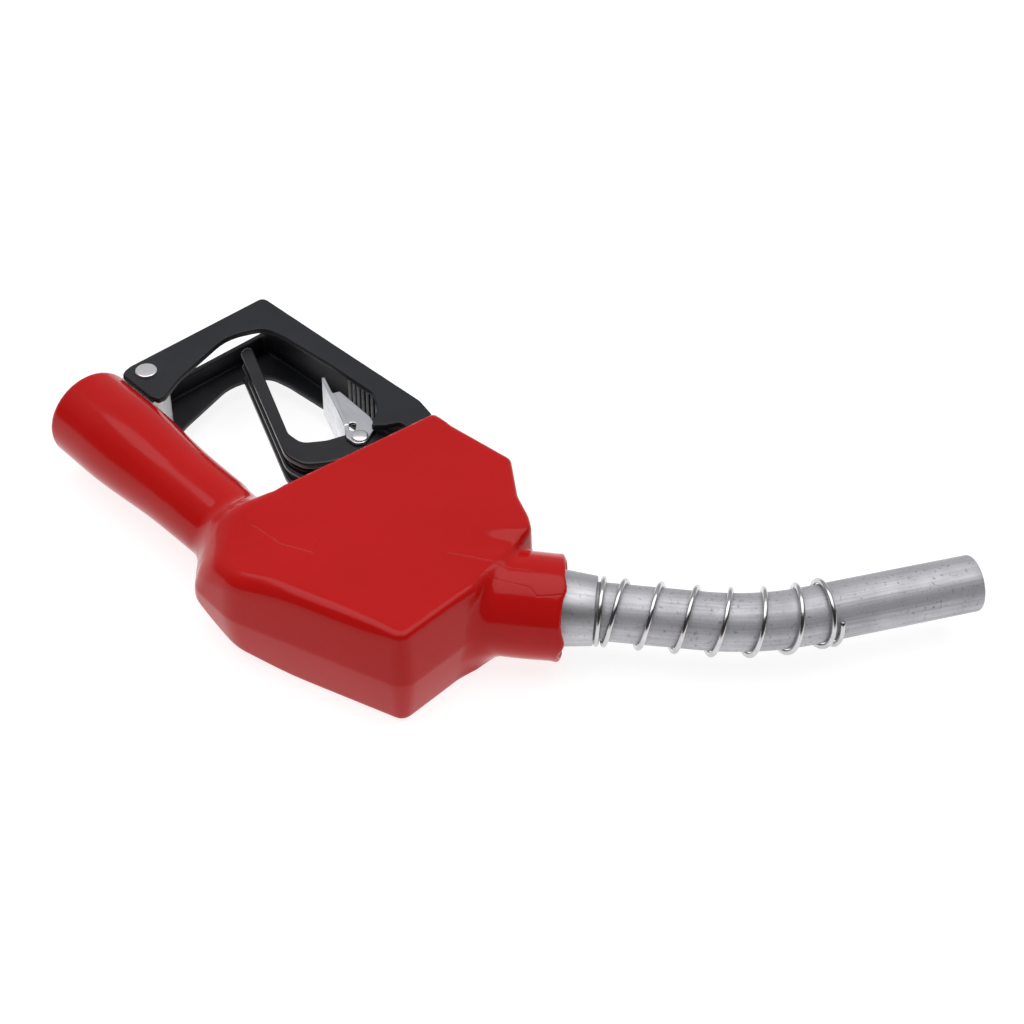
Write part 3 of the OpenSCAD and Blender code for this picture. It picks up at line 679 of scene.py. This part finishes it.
class Paint:
    """Builds a procedural material node by node."""

    def __init__(self, name, colour, metallic=0.0, roughness=0.4, **constants):
        self.mat = bpy.data.materials.new(name)
        self.mat.use_nodes = True
        self.tree = self.mat.node_tree
        self.shader = self.tree.nodes["Principled BSDF"]
        self.set("Base Color", (*colour, 1))
        self.set("Metallic", metallic)
        self.set("Roughness", roughness)
        for key, value in constants.items():
            self.set(key.replace("_", " "), value)
        coord = self.tree.nodes.new("ShaderNodeTexCoord")
        self.place = coord.outputs["Object"]
        self.uv = coord.outputs["UV"]
        self.bumped = None

    def set(self, socket, value):
        self.shader.inputs[socket].default_value = value

    def node(self, kind, **values):
        made = self.tree.nodes.new(kind)
        for key, value in values.items():
            setattr(made, key, value)
        return made

    def link(self, a, b):
        self.tree.links.new(a, b)

    def stretched(self, scale, uv=False):
        mapping = self.node("ShaderNodeMapping")
        mapping.inputs["Scale"].default_value = scale
        self.link(self.uv if uv else self.place, mapping.inputs["Vector"])
        return mapping.outputs["Vector"]

    def noise(self, scale, detail=3.0, rough=0.55, vector=None, distort=0.0):
        tex = self.node("ShaderNodeTexNoise")
        tex.inputs["Scale"].default_value = scale
        tex.inputs["Detail"].default_value = detail
        tex.inputs["Roughness"].default_value = rough
        tex.inputs["Distortion"].default_value = distort
        self.link(vector or self.place, tex.inputs["Vector"])
        return tex.outputs["Fac"]

    def range(self, value, lo, hi, out_lo, out_hi):
        made = self.node("ShaderNodeMapRange")
        for key, v in (("From Min", lo), ("From Max", hi), ("To Min", out_lo), ("To Max", out_hi)):
            made.inputs[key].default_value = v
        self.link(value, made.inputs["Value"])
        return made.outputs["Result"]

    def math(self, operation, a, b=0.5):
        made = self.node("ShaderNodeMath", operation=operation)
        for k, v in enumerate((a, b)):
            if isinstance(v, (int, float)):
                made.inputs[k].default_value = v
            else:
                self.link(v, made.inputs[k])
        return made.outputs["Value"]

    def mix(self, fac, a, b):
        made = self.node("ShaderNodeMix", data_type="RGBA")
        self.link(fac, made.inputs["Factor"])
        made.inputs["A"].default_value = (*a, 1)
        made.inputs["B"].default_value = (*b, 1)
        return made.outputs["Result"]

    def mix_over(self, fac, under, colour):
        made = self.node("ShaderNodeMix", data_type="RGBA")
        self.link(fac, made.inputs["Factor"])
        self.link(under, made.inputs["A"])
        made.inputs["B"].default_value = (*colour, 1)
        return made.outputs["Result"]

    def colour(self, output):
        self.link(output, self.shader.inputs["Base Color"])

    def rough(self, output):
        self.link(output, self.shader.inputs["Roughness"])

    def bump(self, height, distance, strength=1.0):
        made = self.node("ShaderNodeBump")
        made.inputs["Strength"].default_value = strength
        made.inputs["Distance"].default_value = distance
        self.link(height, made.inputs["Height"])
        if self.bumped:
            self.link(self.bumped, made.inputs["Normal"])
        self.bumped = made.outputs["Normal"]
        self.link(self.bumped, self.shader.inputs["Normal"])

    def vector(self, operation, a, b):
        made = self.node("ShaderNodeVectorMath", operation=operation)
        for k, v in enumerate((a, b)):
            if isinstance(v, tuple):
                made.inputs[k].default_value = v
            else:
                self.link(v, made.inputs[k])
        return made

    def lines(self, chains, wide, above):
        """1 along chains of (x, y) points in mm, fading out over a width, where z is above a height."""
        flat = self.vector("MULTIPLY", self.place, (1, 1, 0)).outputs["Vector"]
        near = None
        for chain in chains:
            for (ax, ay), (bx, by) in zip(chain, chain[1:]):
                dx, dy = (bx - ax) * MM, (by - ay) * MM
                to = self.vector("SUBTRACT", flat, (ax * MM, ay * MM, 0)).outputs["Vector"]
                along = self.vector("DOT_PRODUCT", to, (dx, dy, 0)).outputs["Value"]
                along = self.range(along, 0, dx * dx + dy * dy, 0, 1)
                there = self.node("ShaderNodeVectorMath", operation="SCALE")
                there.inputs["Vector"].default_value = (dx, dy, 0)
                self.link(along, there.inputs["Scale"])
                gap = self.vector("DISTANCE", to, there.outputs["Vector"]).outputs["Value"]
                near = gap if near is None else self.math("MINIMUM", near, gap)
        split = self.node("ShaderNodeSeparateXYZ")
        self.link(self.place, split.inputs["Vector"])
        high = self.range(split.outputs["Z"], above * MM, (above + 3) * MM, 0, 1)
        return self.math("MULTIPLY", self.range(near, 0, wide * MM, 1, 0), high)

    def inside(self, axis, lo, hi):
        """1 between two coordinates in mm along an axis, else 0."""
        split = self.node("ShaderNodeSeparateXYZ")
        self.link(self.place, split.inputs["Vector"])
        over = self.math("GREATER_THAN", split.outputs[axis], lo * MM)
        return self.math("MULTIPLY", over, self.math("LESS_THAN", split.outputs[axis], hi * MM))


# Faint seams on the cover's face: chains of (x, y) in mm
SEAMS = (
    ((126, -6.9), (143, -5.4), (155.8, 1), (148, 13.7)),
    ((192, 40.3), (219.3, 59.1)),
    ((208.6, 44.3), (224.5, 54.2), (228.8, 53.9), (235.4, 61.1)),
)


def vinyl():
    p = Paint("red_vinyl", (0.52, 0.008, 0.008), roughness=0.2,
              Coat_Weight=0.06, Coat_Roughness=0.05, IOR=1.24)
    big = p.noise(22, 3)
    plain = p.mix(p.range(big, 0.35, 0.65, 0, 1), (0.505, 0.008, 0.008), (0.535, 0.009, 0.009))
    seam = p.lines(SEAMS, 0.5, 10)
    p.colour(p.mix_over(p.math("MULTIPLY", seam, 0.12), plain, (0.3, 0.004, 0.004)))
    smear = p.noise(60, 4, 0.6, p.stretched((0.4, 1, 1)), 0.4)
    p.rough(p.range(smear, 0.35, 0.7, 0.11, 0.22))
    p.bump(p.noise(28, 2, 0.4), 0.0006, 0.5)
    p.bump(p.noise(900, 2), 0.00002, 0.4)
    p.bump(p.math("MULTIPLY", seam, -1.0), 0.0002, 0.6)
    return p.mat


def guard_plastic():
    p = Paint("black_plastic", (0.013, 0.014, 0.018), roughness=0.5, IOR=1.4)
    tone = p.noise(40, 4)
    plain = p.mix(p.range(tone, 0.3, 0.7, 0, 1), (0.010, 0.011, 0.014), (0.017, 0.018, 0.023))
    # painted highlight: the rack's ridges are painted pale, standing in for the light their crests catch
    rack_highlight_mask = p.math("MULTIPLY", p.inside("X", 62.5, 85), p.inside("Y", 96.0, 97.1))
    rack_highlight_mask = p.math("MULTIPLY", rack_highlight_mask, p.inside("Z", -12.3, 12.3))
    painted_highlight = p.math("MULTIPLY", rack_highlight_mask, p.range(p.noise(300, 3), 0.3, 0.7, 0.5, 1))
    p.colour(p.mix_over(painted_highlight, plain, (0.42, 0.42, 0.44)))
    p.rough(p.range(p.noise(120, 4, 0.6), 0.3, 0.7, 0.42, 0.58))
    p.bump(p.noise(2600, 2, 0.6), 0.00004, 0.6)
    p.bump(p.noise(50, 2), 0.0003, 0.2)
    return p.mat


def lever_plastic():
    p = Paint("lever_plastic", (0.012, 0.012, 0.014), roughness=0.32, IOR=1.48)
    tone = p.noise(55, 3)
    p.colour(p.mix(p.range(tone, 0.3, 0.7, 0, 1), (0.009, 0.009, 0.011), (0.016, 0.016, 0.019)))
    p.rough(p.range(p.noise(160, 5, 0.65, p.stretched((0.3, 1, 1))), 0.3, 0.7, 0.26, 0.42))
    p.bump(p.noise(1800, 2, 0.6), 0.00002, 0.5)
    return p.mat


def metal(name, colour, rough, grain=None, pits=0.00003, uv=False, spots=0.5, flecks=0.0):
    """Bare metal: brushed along grain, with tone, smudges, fine pits and dark flecks."""
    p = Paint(name, colour, metallic=1.0, roughness=rough)
    vector = p.stretched(grain, uv) if grain else p.place
    scale = 1.0 if uv else 300.0
    lines = p.noise(scale * 1.0, 4, 0.65, vector)
    cloud = p.noise(45, 4, 0.6)
    shade = p.math("ADD", p.math("MULTIPLY", lines, 0.55), p.math("MULTIPLY", cloud, 0.45))
    dark = tuple(c * 0.8 for c in colour)
    light = tuple(min(1.0, c * 1.08) for c in colour)
    plain = p.mix(p.range(shade, 0.35, 0.65, 0, 1), dark, light)
    if flecks:
        spot = p.range(p.noise(620, 3, 0.6), 0.60, 0.68, 0, flecks)
        fine = p.noise(1.0, 2, 0.5, p.stretched((260, 18, 1), True))
        scratch = p.range(fine, 0.66, 0.74, 0, flecks * 0.6)
        plain = p.mix_over(p.math("MAXIMUM", spot, scratch), plain, tuple(c * 0.45 for c in colour))
    p.colour(plain)
    p.rough(p.range(shade, 0.3, 0.7, rough * 1.25, rough * 0.8))
    p.bump(lines, 0.00004, 0.35)
    p.bump(p.range(p.noise(1400, 3, 0.7), 0.3, 0.45, 0, 1), pits, spots)
    return p.mat


def cast(name, colour):
    p = Paint(name, colour, metallic=1.0, roughness=0.5)
    tone = p.noise(70, 5, 0.6)
    p.colour(p.mix(p.range(tone, 0.3, 0.7, 0, 1), tuple(c * 0.75 for c in colour), colour))
    p.rough(p.range(p.noise(300, 4, 0.6), 0.3, 0.7, 0.38, 0.6))
    p.bump(p.noise(700, 4, 0.7), 0.00012, 0.6)
    return p.mat


def rubber():
    p = Paint("black_rubber", (0.02, 0.02, 0.02), roughness=0.65)
    p.colour(p.mix(p.noise(90, 4), (0.013, 0.013, 0.014), (0.028, 0.028, 0.028)))
    p.rough(p.range(p.noise(400, 4), 0.3, 0.7, 0.55, 0.8))
    p.bump(p.noise(1500, 3), 0.00006, 0.5)
    return p.mat


def make_materials():
    return {
        "red_vinyl": vinyl(),
        "black_plastic": guard_plastic(),
        "lever_plastic": lever_plastic(),
        "black_rubber": rubber(),
        "cast_aluminium": cast("cast_aluminium", (0.72, 0.73, 0.75)),
        "turned_aluminium": metal(
            "turned_aluminium", (0.55, 0.55, 0.575), 0.5, (1.2, 40, 1), uv=True, flecks=0.5),
        "spout_aluminium": metal(
            "spout_aluminium", (0.57, 0.565, 0.595), 0.62, (1.5, 60, 1), uv=True, flecks=0.7),
        "steel": metal("steel", (0.62, 0.62, 0.63), 0.28, (1, 1, 0.2)),
        "spring_steel": metal("spring_steel", (0.62, 0.62, 0.63), 0.2, (1, 1, 1), 0.00001),
        "zinc_plate": metal("zinc_plate", (0.80, 0.81, 0.85), 0.3, (0.25, 1, 1), 0.00002),
        "rivet_steel": metal("rivet_steel", (0.90, 0.90, 0.91), 0.3, (1, 1, 1), 0.00001),
        "brass": metal("brass", (0.78, 0.58, 0.26), 0.28, (1, 0.2, 1)),
    }


# ------------------------------------------------------------------ pieces


def finish_piece(piece, material, slot, body, *nodes):
    piece.data.materials.clear()
    piece.data.materials.append(material)
    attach(piece, body)
    if nodes:
        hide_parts(*nodes)
    return piece


def sdf_piece(name, f, lo, hi, pitch):
    verts, quads = solid(f, lo, hi, pitch)
    piece = new_piece(name, verts, quads)
    check_side(piece)
    return piece


def flat_rivet(name, at, half, shank, head, thick, slot, mats, body, node):
    """A rivet through both side plates, with flat rounded heads."""
    h = half
    profile = round_profile([
        (0, -h - thick, 0), (head, -h - thick, 0.6), (head + 0.1, -h, 0.15), (shank, -h, 0),
        (shank, h, 0), (head + 0.1, h, 0.15), (head, h + thick, 0.6), (0, h + thick, 0),
    ])
    piece = lathe(name, profile, lambda x, y, z: (at[0] + x, at[1] + y, z), closed=False)
    return finish_piece(piece, mats[slot], slot, body, node)


def domed_rivet(mats):
    """The clip's rivet: a shank with a low dome at each side."""
    top = 10.86
    dome = [(3.7 * math.cos(a), top + 0.35 + 1.0 * math.sin(a)) for a in np.linspace(0, math.pi / 2, 9)]
    half = [(2.4, 0.0), (2.4, top), (3.5, top), (3.7, top + 0.15)] + dome
    profile = [(r, -z) for r, z in reversed(half)] + half[1:]
    cx, cy = CLIP_AT
    piece = lathe("clip_rivet_dome", profile, lambda x, y, z: (cx + x, cy + y, z), 64, False)
    return finish_piece(piece, mats["rivet_steel"], "rivet_steel", "lever", "clip_rivet")


def build_pieces(mats):
    cover_pitch = 1.15
    part_pitch = 0.55
    made = sdf_piece("vinyl_cover_skin", cover, (-3, -37, -28), (253, 103, 28), cover_pitch)
    finish_piece(made, mats["red_vinyl"], "red_vinyl", "body", "vinyl_cover")
    made = sdf_piece("lever_guard_moulding", guard, (0, 14, -17), (159, 104, 17), part_pitch)
    finish_piece(made, mats["black_plastic"], "black_plastic", "body", "lever_guard")
    made = sdf_piece("hand_lever_moulding", lever, (16, 38, -10.5), (177, 86, 10.5), part_pitch)
    finish_piece(made, mats["lever_plastic"], "lever_plastic", "lever", "lever")
    made = sdf_piece("hold_open_clip_stamping", clip, (59, 62, -12), (111, 88, 12), 0.36)
    finish_piece(made, mats["zinc_plate"], "zinc_plate", "clip", "hold_open_clip")

    tube = ring_tube("spout_tube_body", tube_stations(-7.9, SPOUT_END, SPOUT_R, SPOUT_BORE, 0.5, 60), 128)
    finish_piece(tube, mats["spout_aluminium"], "spout_aluminium", "body", "spout_tube")
    ferrule = ring_tube("spout_ferrule", [
        (-35.8, 15.4), (-35.3, 15.9), (-21.2, 15.9), (-21.1, 14.1), (-18.9, 14.1), (-18.8, 15.9),
        (-1.7, 15.9), (-1.3, 15.8), (6, 15.05), (12.6, 14.35), (13.05, 14.15), (13.2, 13.8),
        (13.2, 12.2), (13.0, 11.97), (-7.9, 11.97), (-7.95, 10.3), (-13.9, 10.3), (-14.0, 13.0), (-35.8, 13.0),
    ], 128)
    finish_piece(ferrule, mats["turned_aluminium"], "turned_aluminium", "body", "spout_adapter")
    turns = CLOSED_TURNS + OPEN_TURNS + END_TURNS

    def coil_line(t):
        return on_spout(COIL_START + smooth_rise(t), COIL_TURN - 2 * math.pi * t, COIL_R)

    coil = wire("spout_spring_wire", coil_line, turns, 56, WIRE_R)
    finish_piece(coil, mats["spring_steel"], "spring_steel", "body", "spout_spring")
    flat_rivet("guard_rivet", RIVET_AT, 15.52, 3.0, 4.8, 1.25, "rivet_steel", mats, "body", "guard_rear_rivet")
    domed_rivet(mats)


def dress_nodes(mats):
    """Gives every CAD node that stays visible its slot's procedural material."""
    for name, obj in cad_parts.items():
        if obj.hide_render:
            continue
        slots = [m.name.split(".")[0] for m in obj.data.materials if m]
        slot = next((s for s in slots if s in mats), None)
        for i in range(len(obj.data.materials)):
            obj.data.materials[i] = mats[slot or "steel"]
        if slot is None:
            print("no slot material for", name, slots)


def main():
    add_studio()
    mats = make_materials()
    build_pieces(mats)
    dress_nodes(mats)


main()
